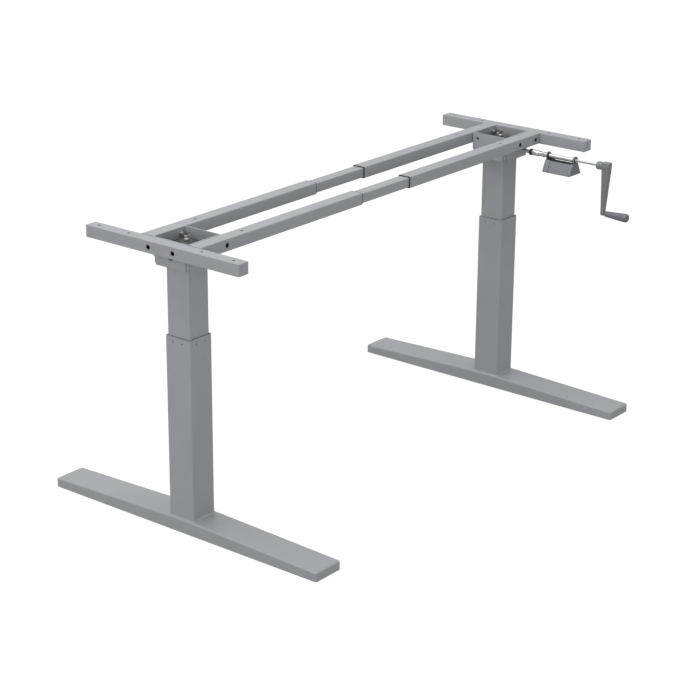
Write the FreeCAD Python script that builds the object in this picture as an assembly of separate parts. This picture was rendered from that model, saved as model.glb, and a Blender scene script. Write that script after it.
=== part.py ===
import FreeCAD, Part
import math
import os

# Hand-cranked height-adjustable desk frame, with no top fitted.
# Frame: origin on the floor midway between the two legs, +X towards the crank leg,
# -Y to the front, where the crank points, and +Z up.  All sizes in millimetres.
# One leg is modelled about its own column axis with its outer side at -X.  The left
# leg is that leg shifted; the right leg is the same leg turned half round about Z.

# ---- driving dimensions: the whole frame ----
COLUMN_SPACING = 1258.0
FRAME_TOP = 737.0

# ---- foot and levelling glides ----
FOOT_LENGTH = 840.0
FOOT_WIDTH = 88.0
FOOT_CLEARANCE = 8.0
FOOT_END_HEIGHT = 23.0
FOOT_MIDDLE_HEIGHT = 34.3
FOOT_FLAT_LENGTH = 110.0
FOOT_WALL = 2.5
FOOT_CORNER = 4.0
FOOT_PLATE_LENGTH = 110.0
FOOT_PLATE_THICKNESS = 6.0
GLIDE_FROM_END = 20.0
GLIDE_DIAMETER = 24.0
GLIDE_PAD_HEIGHT = 5.0
GLIDE_STEM_DIAMETER = 8.0
GLIDE_STEM_TOP = 24.0
GLIDE_BRACKET_THICKNESS = 3.0
GLIDE_SLEEVE_WALL = 3.0

# ---- columns ----
OUTER_SIZE = 76.0
COLUMN_WALL = 2.0
GUIDE_ROOM = 2.0
OUTER_TOP = 498.0
COLUMN_CORNER = 4.0
INNER_BOTTOM = 135.0
BASE_THICKNESS = 8.0
SCREW_SPREAD = 48.0
SCREW_DIAMETER = 8.0
SCREW_CLEARANCE = 0.25
GUIDE_GAP = 0.15
GUIDE_WIDTH = 50.0
UPPER_GUIDE_HEIGHT = 40.0
LOWER_GUIDE_HEIGHT = 30.0
LOWER_GUIDE_RISE = 2.0
PIP_SPREAD = 29.0
PIP_DEPTH = 12.0
PIP_DIAMETER = 3.4
PIP_CLEARANCE = 0.1

# ---- lifting spindle and nut ----
SPINDLE_DIAMETER = 14.0
JOURNAL_DIAMETER = 10.0
SPINDLE_BOTTOM = 132.0
NUT_TUBE_DIAMETER = 30.0
NUT_TUBE_WALL = 3.0
NUT_TUBE_TOP = 425.0
NUT_FLANGE = 8.0
NUT_SPIGOT = 24.0
RUNNING_CLEARANCE = 0.05
BEARING_DIAMETER = 22.0
BEARING_WIDTH = 7.0
BEARING_LIP = 9.0
BEARING_HOUSING_WALL = 4.0

# ---- head box and gearbox ----
HEAD_SIZE = 110.0
HEAD_HEIGHT = 66.0
HEAD_WALL = 3.0
HEAD_CORNER = 4.0
NOTCH_REACH = 8.5
NOTCH_HEIGHT = 24.0
BOLT_SPREAD = 75.0
BOLT_DROP = 15.5
BOLT_DIAMETER = 8.0
BOLT_HEAD_DIAMETER = 12.0
BOLT_HEAD_HEIGHT = 4.5
BOLT_SOCKET_FLATS = 5.0
BOLT_SOCKET_DEPTH = 2.5
BOLT_NUT_HEIGHT = 6.0
BOLT_NUT_FLATS = 13.0
SHAFT_DROP = 40.0
GEARBOX_SIZE = 64.0
GEARBOX_WALL = 6.0
GEARBOX_FLOOR = 3.0
GEARBOX_HEIGHT = 42.0
GEARBOX_CORNER = 6.0
GEARBOX_POST_DIAMETER = 10.0
COVER_THICKNESS = 3.0
DOME_BASE_DIAMETER = 36.0
DOME_TOP_DIAMETER = 30.0
DOME_HEIGHT = 4.0
GEARBOX_SCREW_DIAMETER = 5.0
GEARBOX_CAP_DIAMETER = 8.5
GEARBOX_CAP_HEIGHT = 5.0
GEARBOX_SOCKET_DIAMETER = 4.0
GEARBOX_SOCKET_DEPTH = 2.5
TOOTH_DEPTH = 1.2
GEAR_REACH = 15.0
GEAR_BACK = 2.5
GEAR_CLEARANCE = 0.15
GEAR_TEETH = 16
CRANK_PINION_FROM = 6.4
CRANK_PINION_TO = 9.9
CROSS_PINION_FROM = 10.8

# ---- side bars and rails ----
BAR_LENGTH = 472.0
BAR_WIDTH = 32.5
BAR_CORNER = 1.5
RAIL_HEIGHT = 30.0
RAIL_WIDTH = 36.0
RAIL_WALL = 2.0
RAIL_CORNER = 2.5
RAIL_END_GAP = 1.5
RAIL_MOUTH = 98.0
TOP_HOLE_DIAMETER = 8.0
DRIVER_HOLE_DIAMETER = 14.0
ACCESS_HOLE_DIAMETER = 12.0
BAR_HOLES_OUTER = 414.0
BAR_HOLES_INNER = 224.0
RAIL_HOLE_INSET = 108.0
SLIDE_CLEARANCE = 0.15
SLEEVE_LINING = 0.35
SLEEVE_FLANGE = 2.0
SLEEVE_LENGTH = 40.0
INNER_RAIL_LENGTH = 760.0
INNER_RAIL_WALL = 1.5

# ---- cross shaft ----
SHAFT_DIAMETER = 10.0
HEX_FLATS = 6.0
HEX_CLEARANCE = 0.15
CROSS_TUBE_END = 300.0
CROSS_ROD_END = 200.0
CROSS_STUB_END = 64.0
HOLE_CLEARANCE = 3.0

# ---- crank line, measured forwards from the column axis ----
RING_AT = 99.0
RING_WIDTH = 6.0
RING_DIAMETER = 18.0
COUPLING_AT = 109.0
COUPLING_END = 147.0
COUPLING_DIAMETER = 16.0
COUPLING_STEP_DIAMETER = 13.4
COUPLING_MIDDLE = 128.0
DRIVE_TUBE_DIAMETER = 12.0
DRIVE_TUBE_END = 248.0
CRANK_ROD_START = 150.0
HUB_START = 312.0
HUB_END = 353.5
HUB_DIAMETER = 22.0
CRANK_THROW = 129.0
ARM_TOP_WIDTH = 20.0
ARM_TOP_DEPTH = 24.0
ARM_TIP_WIDTH = 10.5
ARM_TIP_DEPTH = 11.5
ARM_TIP_BACK = 330.5
GRIP_PIN_DIAMETER = 6.0
GRIP_START = 345.0
GRIP_END = 413.0
GRIP_START_DIAMETER = 15.5
GRIP_END_DIAMETER = 23.0
GRIP_END_WALL = 4.0

# ---- crank bearing bracket ----
BRACKET_START = 157.0
BRACKET_LENGTH = 87.0
BRACKET_WIDTH = 56.0
BRACKET_THICKNESS = 2.0
BRACKET_NECK_WIDTH = 25.0
BRACKET_NECK_DROP = 8.0
BRACKET_EAR_DIAMETER = 21.5
BRACKET_PANEL_THICKNESS = 2.0
BRACKET_PANEL_INSET = 3.0
BRACKET_PANEL_TOP = 11.0
BUSH_WALL = 2.0
BUSH_FLANGE = 2.5
BRACKET_HOLE_SPREAD_X = 38.0
BRACKET_HOLE_SPREAD_Y = 62.0
BRACKET_HOLE_DIAMETER = 5.0

# ---- worked-out sizes ----
FOOT_TOP = FOOT_CLEARANCE + FOOT_MIDDLE_HEIGHT
BASE_TOP = FOOT_TOP + BASE_THICKNESS
OUTER_HALF = OUTER_SIZE / 2
OUTER_INSIDE = OUTER_HALF - COLUMN_WALL
INNER_HALF = OUTER_INSIDE - GUIDE_ROOM
INNER_INSIDE = INNER_HALF - COLUMN_WALL
HEAD_HALF = HEAD_SIZE / 2
HEAD_BOTTOM = FRAME_TOP - HEAD_HEIGHT
HEAD_FLOOR = HEAD_BOTTOM + HEAD_WALL
RAIL_BOTTOM = FRAME_TOP - RAIL_HEIGHT
BOLT_Z = FRAME_TOP - BOLT_DROP
SHAFT_Z = FRAME_TOP - SHAFT_DROP
RAIL_Y = HEAD_HALF + RAIL_WIDTH / 2
BAR_INNER = -HEAD_HALF
BAR_OUTER = BAR_INNER - BAR_WIDTH
RAIL_OUTER_END = -HEAD_HALF + RAIL_END_GAP
RAIL_INNER_END = COLUMN_SPACING / 2 - RAIL_MOUTH
GEARBOX_TOP = HEAD_FLOOR + GEARBOX_HEIGHT
GEARBOX_HALF = GEARBOX_SIZE / 2
SPIGOT_DIAMETER = BEARING_DIAMETER + 2 * BEARING_HOUSING_WALL
GEARBOX_SCREW_SPREAD = GEARBOX_SIZE - GEARBOX_POST_DIAMETER
BEARING_TOP = HEAD_FLOOR + GEARBOX_FLOOR - BEARING_LIP
BEARING_BOTTOM = BEARING_TOP - BEARING_WIDTH
GLIDE_Y = FOOT_LENGTH / 2 - GLIDE_FROM_END
BRACKET_BASE_DROP = SHAFT_DROP
RIGHT_X = COLUMN_SPACING / 2


def box(x0, x1, y0, y1, z0, z1):
    """A box between two corners."""
    return Part.makeBox(x1 - x0, y1 - y0, z1 - z0, FreeCAD.Vector(x0, y0, z0))


def rod(diameter, x, y, z, axis, length):
    """A round rod that starts at a point and runs along an axis."""
    return Part.makeCylinder(diameter / 2, length, FreeCAD.Vector(x, y, z), FreeCAD.Vector(*axis))


def prism(points, direction):
    """A flat outline swept along a direction."""
    corners = [FreeCAD.Vector(*p) for p in points]
    outline = Part.makePolygon(corners + corners[:1])
    return Part.Face(outline).extrude(FreeCAD.Vector(*direction))


def hexagon(flats, start, direction):
    """A hexagonal rod along X or Y, with two corners up and down."""
    radius = flats / math.sqrt(3)
    along_x = abs(direction[0]) > 0
    points = []
    for k in range(6):
        side = radius * math.sin(math.radians(60 * k))
        up = radius * math.cos(math.radians(60 * k))
        shift = (0, side, up) if along_x else (side, 0, up)
        points.append([s + d for s, d in zip(start, shift)])
    return prism(points, direction)


def edges_along(shape, axis):
    """The straight edges of a shape that run along an axis, 0 for X, 1 for Y and 2 for Z."""
    found = []
    for edge in shape.Edges:
        if isinstance(edge.Curve, Part.Line):
            way = edge.tangentAt(edge.FirstParameter)
            if abs(way[axis]) > 0.999:
                found.append(edge)
    return found


def eased_box(x0, x1, y0, y1, z0, z1, corner, axis):
    """A box with the four edges along one axis rounded."""
    block = box(x0, x1, y0, y1, z0, z1)
    return block.makeFillet(corner, edges_along(block, axis))


def hollow(x0, x1, y0, y1, z0, z1, corner, wall, axis):
    """A rounded rectangular tube, open at both ends, along one axis."""
    grow = [wall, wall, wall]
    grow[axis] = 0
    inner = eased_box(
        x0 + grow[0], x1 - grow[0], y0 + grow[1], y1 - grow[1], z0 + grow[2], z1 - grow[2],
        max(corner - wall, 0.5), axis,
    )
    return eased_box(x0, x1, y0, y1, z0, z1, corner, axis).cut(inner)


def quarter_turns(shape):
    """A shape repeated at each quarter turn about the column axis."""
    copies = []
    for k in range(4):
        copy = shape.copy()
        copy.rotate(FreeCAD.Vector(0, 0, 0), FreeCAD.Vector(0, 0, 1), 90 * k)
        copies.append(copy)
    return copies


# ---- foot ----

def foot_outline(inset):
    """The side view of the foot: flat under the column, then a straight taper to each end."""
    end = FOOT_LENGTH / 2 - inset
    flat = FOOT_FLAT_LENGTH / 2
    low = FOOT_CLEARANCE if inset == 0 else FOOT_CLEARANCE - 1
    end_z = FOOT_CLEARANCE + FOOT_END_HEIGHT - inset
    middle_z = FOOT_TOP - inset
    x = -FOOT_WIDTH / 2 + inset
    return [(x, -end, low), (x, end, low), (x, end, end_z), (x, flat, middle_z),
            (x, -flat, middle_z), (x, -end, end_z)]


def foot():
    """Folded steel channel, open below, with a plate under the column and two glide brackets."""
    outside = prism(foot_outline(0), (FOOT_WIDTH, 0, 0))
    round_off = edges_along(outside, 2)
    for edge in outside.Edges:
        spot = edge.CenterOfMass
        if spot.z > FOOT_CLEARANCE + FOOT_END_HEIGHT - 0.1:
            at_side = abs(abs(spot.x) - FOOT_WIDTH / 2) < 0.1
            at_end = abs(abs(spot.y) - FOOT_LENGTH / 2) < 0.1
            if at_side or at_end:
                round_off.append(edge)
    outside = outside.makeFillet(FOOT_CORNER, round_off)
    inside = prism(foot_outline(FOOT_WALL), (FOOT_WIDTH - 2 * FOOT_WALL, 0, 0))
    inside = inside.makeFillet(FOOT_CORNER - FOOT_WALL, edges_along(inside, 2))
    channel = outside.cut(inside)
    half = FOOT_WIDTH / 2 - FOOT_WALL
    skin = FOOT_TOP - FOOT_WALL
    plate = box(-half, half, -FOOT_PLATE_LENGTH / 2, FOOT_PLATE_LENGTH / 2,
                skin - FOOT_PLATE_THICKNESS, skin)
    parts = [plate]
    bottom = FOOT_CLEARANCE + 2
    for side in (-1, 1):
        near = side * (GLIDE_Y - GLIDE_FROM_END + FOOT_WALL)
        far = side * (FOOT_LENGTH / 2 - FOOT_WALL)
        parts.append(box(-half, half, min(near, far), max(near, far),
                         bottom, bottom + GLIDE_BRACKET_THICKNESS))
        parts.append(rod(GLIDE_STEM_DIAMETER + 2 * GLIDE_SLEEVE_WALL, 0, side * GLIDE_Y,
                         bottom, (0, 0, 1), FOOT_END_HEIGHT - 12))
    whole = channel.fuse(parts)
    holes = []
    for side in (-1, 1):
        holes.append(rod(GLIDE_STEM_DIAMETER + 2 * RUNNING_CLEARANCE, 0, side * GLIDE_Y,
                         FOOT_CLEARANCE, (0, 0, 1), FOOT_END_HEIGHT - FOOT_WALL - 1))
    for x, y in screw_places(SCREW_SPREAD):
        holes.append(rod(SCREW_DIAMETER + 2 * SCREW_CLEARANCE, x, y,
                         FOOT_CLEARANCE, (0, 0, 1), FOOT_MIDDLE_HEIGHT + 1))
    return whole.cut(holes).removeSplitter()


def screw_places(spread):
    """The four corners of a square pattern."""
    return [(sx * spread / 2, sy * spread / 2) for sx in (-1, 1) for sy in (-1, 1)]


def glide(side):
    """Levelling glide: a domed plastic pad moulded on a screwed stem."""
    y = side * GLIDE_Y
    radius = GLIDE_DIAMETER / 2
    outline = [(0, y, 0), (radius - 1.5, y, 0), (radius, y, 1.5), (radius, y, GLIDE_PAD_HEIGHT - 1.5),
               (radius - 3, y, GLIDE_PAD_HEIGHT), (GLIDE_STEM_DIAMETER / 2 + 2, y, GLIDE_PAD_HEIGHT),
               (GLIDE_STEM_DIAMETER / 2 + 2, y, GLIDE_PAD_HEIGHT + 2.5),
               (GLIDE_STEM_DIAMETER / 2, y, GLIDE_PAD_HEIGHT + 2.5),
               (GLIDE_STEM_DIAMETER / 2, y, GLIDE_STEM_TOP - 1),
               (GLIDE_STEM_DIAMETER / 2 - 1, y, GLIDE_STEM_TOP), (0, y, GLIDE_STEM_TOP)]
    corners = [FreeCAD.Vector(*p) for p in outline]
    face = Part.Face(Part.makePolygon(corners + corners[:1]))
    return face.revolve(FreeCAD.Vector(0, y, 0), FreeCAD.Vector(0, 0, 1), 360)


# ---- columns ----

def column_base():
    """Steel plate welded in the bottom of the outer column, tapped for the foot screws."""
    half = OUTER_INSIDE
    plate = eased_box(-half, half, -half, half, FOOT_TOP, BASE_TOP, COLUMN_CORNER - COLUMN_WALL, 2)
    holes = [rod(SCREW_DIAMETER, x, y, FOOT_TOP, (0, 0, 1), BASE_THICKNESS)
             for x, y in screw_places(SCREW_SPREAD)]
    return plate.cut(holes)


def foot_screws():
    """Four screws from under the foot plate up into the column base."""
    seat = FOOT_TOP - FOOT_WALL - FOOT_PLATE_THICKNESS
    screws = []
    for x, y in screw_places(SCREW_SPREAD):
        shank = rod(SCREW_DIAMETER, x, y, seat, (0, 0, 1), BASE_TOP - seat)
        head = rod(BOLT_HEAD_DIAMETER, x, y, seat - BOLT_HEAD_HEIGHT, (0, 0, 1), BOLT_HEAD_HEIGHT)
        screws.append(shank.fuse(head).removeSplitter())
    return Part.Compound(screws)


def outer_column():
    """Square steel tube that stands on the foot, with pip holes round its mouth."""
    tube = hollow(-OUTER_HALF, OUTER_HALF, -OUTER_HALF, OUTER_HALF, FOOT_TOP, OUTER_TOP,
                  COLUMN_CORNER, COLUMN_WALL, 2)
    holes = []
    for side in (-1, 1):
        hole = rod(PIP_DIAMETER + 2 * PIP_CLEARANCE, OUTER_INSIDE - 1, side * PIP_SPREAD / 2,
                   OUTER_TOP - PIP_DEPTH, (1, 0, 0), COLUMN_WALL + 2)
        holes += quarter_turns(hole)
    return tube.cut(holes)


def inner_column():
    """Square steel tube that slides in the outer column and carries the head."""
    tube = hollow(-INNER_HALF, INNER_HALF, -INNER_HALF, INNER_HALF, INNER_BOTTOM, HEAD_BOTTOM,
                  COLUMN_CORNER - 0.5, COLUMN_WALL, 2)
    pip_z = INNER_BOTTOM + LOWER_GUIDE_RISE + LOWER_GUIDE_HEIGHT / 2
    holes = []
    for side in (-1, 1):
        hole = rod(PIP_DIAMETER + 2 * PIP_CLEARANCE, INNER_INSIDE - 1, side * PIP_SPREAD / 2,
                   pip_z, (1, 0, 0), COLUMN_WALL + 2)
        holes += quarter_turns(hole)
    return tube.cut(holes)


def guide_pad(x0, x1, z0, z1, pip_z, pip_start):
    """A plastic slide pad with two pips that snap into the column wall."""
    pad = box(x0, x1, -GUIDE_WIDTH / 2, GUIDE_WIDTH / 2, z0, z1)
    pips = [rod(PIP_DIAMETER, pip_start, side * PIP_SPREAD / 2, pip_z, (1, 0, 0), COLUMN_WALL - 0.2)
            for side in (-1, 1)]
    return pad.fuse(pips)


def upper_guides():
    """Four pads fixed inside the mouth of the outer column."""
    pad = guide_pad(INNER_HALF + GUIDE_GAP, OUTER_INSIDE, OUTER_TOP - UPPER_GUIDE_HEIGHT, OUTER_TOP,
                    OUTER_TOP - PIP_DEPTH, OUTER_INSIDE)
    return Part.Compound(quarter_turns(pad))


def lower_guides():
    """Four pads fixed outside the bottom of the inner column."""
    low = INNER_BOTTOM + LOWER_GUIDE_RISE
    pad = guide_pad(INNER_HALF, OUTER_INSIDE - GUIDE_GAP, low, low + LOWER_GUIDE_HEIGHT,
                    low + LOWER_GUIDE_HEIGHT / 2, INNER_INSIDE + 0.2)
    return Part.Compound(quarter_turns(pad))


# ---- lifting drive inside a leg ----

def nut_tube():
    """Tube welded on the column base that holds the lifting nut up."""
    length = NUT_TUBE_TOP - BASE_TOP
    outside = rod(NUT_TUBE_DIAMETER, 0, 0, BASE_TOP, (0, 0, 1), length)
    return outside.cut(rod(NUT_TUBE_DIAMETER - 2 * NUT_TUBE_WALL, 0, 0, BASE_TOP, (0, 0, 1), length))


def lift_nut():
    """Flanged plastic nut that the spindle turns in."""
    spigot = NUT_TUBE_DIAMETER - 2 * NUT_TUBE_WALL
    nut = rod(spigot, 0, 0, NUT_TUBE_TOP - NUT_SPIGOT, (0, 0, 1), NUT_SPIGOT)
    nut = nut.fuse(rod(NUT_TUBE_DIAMETER, 0, 0, NUT_TUBE_TOP, (0, 0, 1), NUT_FLANGE))
    bore = rod(SPINDLE_DIAMETER + 2 * RUNNING_CLEARANCE, 0, 0, NUT_TUBE_TOP - NUT_SPIGOT,
               (0, 0, 1), NUT_SPIGOT + NUT_FLANGE)
    return nut.cut(bore).removeSplitter()


def spindle():
    """Lifting screw: a long threaded part with a shoulder, and a journal for bearing and gear."""
    screw = rod(SPINDLE_DIAMETER, 0, 0, SPINDLE_BOTTOM, (0, 0, 1), BEARING_BOTTOM - SPINDLE_BOTTOM)
    screw = screw.makeChamfer(1.5, [edge for edge in screw.Edges
                                    if abs(edge.CenterOfMass.z - SPINDLE_BOTTOM) < 0.1
                                    and isinstance(edge.Curve, Part.Circle)])
    journal_top = SHAFT_Z - GEAR_REACH + 4
    journal = rod(JOURNAL_DIAMETER, 0, 0, BEARING_BOTTOM, (0, 0, 1), journal_top - BEARING_BOTTOM)
    return screw.fuse(journal).removeSplitter()


def spindle_bearing():
    """Ball bearing under the gearbox that takes the load of the desk on the spindle's shoulder."""
    race = rod(BEARING_DIAMETER, 0, 0, BEARING_BOTTOM, (0, 0, 1), BEARING_WIDTH)
    bore = JOURNAL_DIAMETER + 2 * RUNNING_CLEARANCE
    return race.cut(rod(bore, 0, 0, BEARING_BOTTOM, (0, 0, 1), BEARING_WIDTH))


def bevel(reach_from, reach_to, bore):
    """Bevel wheel along +X from the shafts' meeting point, its teeth cut below the pitch cone."""
    clear = GEAR_CLEARANCE
    cone = Part.makeCone(reach_from - clear, reach_to - clear, reach_to - reach_from,
                         FreeCAD.Vector(reach_from, 0, 0), FreeCAD.Vector(1, 0, 0))
    wheel = cone.fuse(rod(2 * (reach_to - clear), reach_to, 0, 0, (1, 0, 0), GEAR_BACK))
    wheel = wheel.removeSplitter()
    depth = TOOTH_DEPTH
    width = 0.45 * 2 * math.pi * reach_from / GEAR_TEETH
    groove = prism(
        [(reach_from - 1, -width / 2, reach_from - 1 - depth), (reach_to + 1, -width / 2, reach_to + 1 - depth),
         (reach_to + 1, -width / 2, reach_to + 3), (reach_from - 1, -width / 2, reach_to + 3)],
        (0, width, 0))
    grooves = []
    for k in range(GEAR_TEETH):
        copy = groove.copy()
        copy.rotate(FreeCAD.Vector(0, 0, 0), FreeCAD.Vector(1, 0, 0), 360 / GEAR_TEETH * k)
        grooves.append(copy)
    wheel = wheel.cut(grooves)
    if bore:
        wheel = wheel.cut(rod(bore, reach_from - 1, 0, 0, (1, 0, 0), reach_to + GEAR_BACK + 2))
    return wheel


def swing(shape, axis, angle):
    """A shape turned about an axis through the origin, then raised to the shafts' height."""
    shape.rotate(FreeCAD.Vector(0, 0, 0), FreeCAD.Vector(*axis), angle)
    shape.translate(FreeCAD.Vector(0, 0, SHAFT_Z))
    return shape


def spindle_gear():
    """Bevel wheel on the spindle, driven by both pinions."""
    return swing(bevel(CRANK_PINION_FROM + 0.5, GEAR_REACH, JOURNAL_DIAMETER), (0, 1, 0), 90)


# ---- head ----

def head_notch():
    """The bite out of one lower corner of the head box, the same on both walls there."""
    near = HEAD_HALF - NOTCH_REACH
    far = HEAD_HALF + 1
    low = HEAD_BOTTOM - 1
    top = HEAD_BOTTOM + NOTCH_HEIGHT
    in_wall = [(near, low), (near, HEAD_BOTTOM + 1), (near - 1.5, HEAD_BOTTOM + 4),
               (near - 0.5, HEAD_BOTTOM + 8), (near + 3, HEAD_BOTTOM + 12), (near + 6, top - 6),
               (near + 7.5, top - 2), (far, top), (far, low)]
    depth = NOTCH_REACH + 1
    on_side = prism([(-far, y, z) for y, z in in_wall], (depth, 0, 0))
    on_rear = prism([(-x, far, z) for x, z in in_wall], (0, -depth, 0))
    return on_side.fuse(on_rear)


def head():
    """Welded steel box on the inner column, open at the top, that everything bolts to."""
    outside = eased_box(-HEAD_HALF, HEAD_HALF, -HEAD_HALF, HEAD_HALF, HEAD_BOTTOM, FRAME_TOP,
                        HEAD_CORNER, 2)
    half = HEAD_HALF - HEAD_WALL
    inside = eased_box(-half, half, -half, half, HEAD_FLOOR, FRAME_TOP + 1,
                       HEAD_CORNER - HEAD_WALL, 2)
    cuts = [inside, rod(SPIGOT_DIAMETER, 0, 0, HEAD_BOTTOM, (0, 0, 1), HEAD_WALL)]
    cuts += quarter_turns(head_notch())
    for side in (-1, 1):
        hole = rod(BOLT_DIAMETER + 2 * SCREW_CLEARANCE, half - 1, side * BOLT_SPREAD / 2, BOLT_Z,
                   (1, 0, 0), HEAD_WALL + 2)
        cuts += quarter_turns(hole)
    shaft_hole = rod(SHAFT_DIAMETER + 2 * HOLE_CLEARANCE, half - 1, 0, SHAFT_Z,
                     (1, 0, 0), HEAD_WALL + 2)
    cuts += quarter_turns(shaft_hole)
    for x, y in screw_places(GEARBOX_SCREW_SPREAD):
        cuts.append(rod(GEARBOX_SCREW_DIAMETER, x, y, HEAD_BOTTOM, (0, 0, 1), HEAD_WALL))
    return outside.cut(cuts)


def head_bolt(wall):
    """Button-head bolt and nut along +X: head inside the rail or bar, nut inside the head."""
    head_x = HEAD_HALF + wall
    shank_from = HEAD_HALF - HEAD_WALL - BOLT_NUT_HEIGHT - 2
    shank = rod(BOLT_DIAMETER, shank_from, 0, 0, (1, 0, 0), head_x - shank_from)
    cap = Part.makeCone(BOLT_HEAD_DIAMETER / 2, BOLT_HEAD_DIAMETER / 2 - 2, BOLT_HEAD_HEIGHT,
                        FreeCAD.Vector(head_x, 0, 0), FreeCAD.Vector(1, 0, 0))
    socket = hexagon(BOLT_SOCKET_FLATS, (head_x + BOLT_HEAD_HEIGHT - BOLT_SOCKET_DEPTH, 0, 0),
                     (BOLT_SOCKET_DEPTH + 1, 0, 0))
    nut_x = HEAD_HALF - HEAD_WALL - BOLT_NUT_HEIGHT
    nut = hexagon(BOLT_NUT_FLATS, (nut_x, 0, 0), (BOLT_NUT_HEIGHT, 0, 0))
    return shank.fuse([cap, nut]).cut(socket).removeSplitter()


def head_bolts():
    """Six bolts that hold the side bar and both rails to the head."""
    bolts = []
    for turn in (90, 180, 270):
        for side in (-1, 1):
            bolt = head_bolt(RAIL_WALL)
            bolt.translate(FreeCAD.Vector(0, side * BOLT_SPREAD / 2, BOLT_Z))
            bolt.rotate(FreeCAD.Vector(0, 0, 0), FreeCAD.Vector(0, 0, 1), turn)
            bolts.append(bolt)
    return Part.Compound(bolts)


def gearbox():
    """Cast gearbox housing, with a spigot through the head's floor that holds the bearing."""
    block = eased_box(-GEARBOX_HALF, GEARBOX_HALF, -GEARBOX_HALF, GEARBOX_HALF,
                      HEAD_FLOOR, GEARBOX_TOP, GEARBOX_CORNER, 2)
    block = block.fuse(rod(SPIGOT_DIAMETER, 0, 0, BEARING_BOTTOM, (0, 0, 1),
                           HEAD_FLOOR - BEARING_BOTTOM))
    half = GEARBOX_HALF - GEARBOX_WALL
    room = box(-half, half, -half, half, HEAD_FLOOR + GEARBOX_FLOOR, GEARBOX_TOP)
    posts = []
    for x, y in screw_places(GEARBOX_SCREW_SPREAD):
        posts.append(rod(GEARBOX_POST_DIAMETER, x, y, HEAD_FLOOR, (0, 0, 1), GEARBOX_HEIGHT))
    body = block.cut(room).fuse(posts)
    holes = [
        rod(BEARING_DIAMETER, 0, 0, BEARING_BOTTOM, (0, 0, 1), BEARING_WIDTH),
        rod(JOURNAL_DIAMETER + 2, 0, 0, BEARING_BOTTOM, (0, 0, 1), GEARBOX_FLOOR + 20),
        rod(SHAFT_DIAMETER + 2 * RUNNING_CLEARANCE, half - 1, 0, SHAFT_Z, (1, 0, 0), GEARBOX_WALL + 2),
        rod(SHAFT_DIAMETER + 2 * RUNNING_CLEARANCE, 0, half - 1, SHAFT_Z, (0, 1, 0), GEARBOX_WALL + 2),
    ]
    for x, y in screw_places(GEARBOX_SCREW_SPREAD):
        holes.append(rod(GEARBOX_SCREW_DIAMETER, x, y, HEAD_FLOOR, (0, 0, 1), GEARBOX_HEIGHT))
    return body.cut(holes).removeSplitter()


def gearbox_cover():
    """Plate that closes the gearbox, with a raised centre over the gears."""
    plate = eased_box(-GEARBOX_HALF, GEARBOX_HALF, -GEARBOX_HALF, GEARBOX_HALF,
                      GEARBOX_TOP, GEARBOX_TOP + COVER_THICKNESS, GEARBOX_CORNER, 2)
    dome = Part.makeCone(DOME_BASE_DIAMETER / 2, DOME_TOP_DIAMETER / 2, DOME_HEIGHT,
                         FreeCAD.Vector(0, 0, GEARBOX_TOP + COVER_THICKNESS))
    cover = plate.fuse(dome)
    holes = [rod(GEARBOX_SCREW_DIAMETER, x, y, GEARBOX_TOP, (0, 0, 1), COVER_THICKNESS)
             for x, y in screw_places(GEARBOX_SCREW_SPREAD)]
    return cover.cut(holes)


def gearbox_screws():
    """Four long screws through cover and housing into the head's floor."""
    seat = GEARBOX_TOP + COVER_THICKNESS
    screws = []
    for x, y in screw_places(GEARBOX_SCREW_SPREAD):
        shank = rod(GEARBOX_SCREW_DIAMETER, x, y, HEAD_BOTTOM, (0, 0, 1), seat - HEAD_BOTTOM)
        cap = rod(GEARBOX_CAP_DIAMETER, x, y, seat, (0, 0, 1), GEARBOX_CAP_HEIGHT)
        socket = rod(GEARBOX_SOCKET_DIAMETER, x, y, seat + GEARBOX_CAP_HEIGHT - GEARBOX_SOCKET_DEPTH,
                     (0, 0, 1), GEARBOX_SOCKET_DEPTH + 1)
        screws.append(shank.fuse(cap).cut(socket).removeSplitter())
    return Part.Compound(screws)


# ---- side bar and rails ----

def side_bar():
    """Rectangular steel tube along the desk's depth, with closed ends."""
    half = BAR_LENGTH / 2
    outside = box(BAR_OUTER, BAR_INNER, -half, half, RAIL_BOTTOM, FRAME_TOP)
    outside = outside.makeFillet(BAR_CORNER, outside.Edges)
    inside = box(BAR_OUTER + RAIL_WALL, BAR_INNER - RAIL_WALL, -half + RAIL_WALL, half - RAIL_WALL,
                 RAIL_BOTTOM + RAIL_WALL, FRAME_TOP - RAIL_WALL)
    bar = outside.cut(inside)
    centre = (BAR_OUTER + BAR_INNER) / 2
    holes = []
    for spread in (BAR_HOLES_OUTER, BAR_HOLES_INNER):
        for side in (-1, 1):
            y = side * spread / 2
            holes.append(rod(TOP_HOLE_DIAMETER, centre, y, FRAME_TOP - RAIL_WALL - 1, (0, 0, 1), RAIL_WALL + 2))
            holes.append(rod(DRIVER_HOLE_DIAMETER, centre, y, RAIL_BOTTOM - 1, (0, 0, 1), RAIL_WALL + 2))
    for side in (-1, 1):
        y = side * BOLT_SPREAD / 2
        holes.append(rod(ACCESS_HOLE_DIAMETER, BAR_OUTER - 1, y, BOLT_Z, (1, 0, 0), RAIL_WALL + 2))
        holes.append(rod(BOLT_DIAMETER + 2 * SCREW_CLEARANCE, BAR_INNER - RAIL_WALL - 1, y, BOLT_Z,
                         (1, 0, 0), RAIL_WALL + 2))
    return bar.cut(holes)


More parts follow.
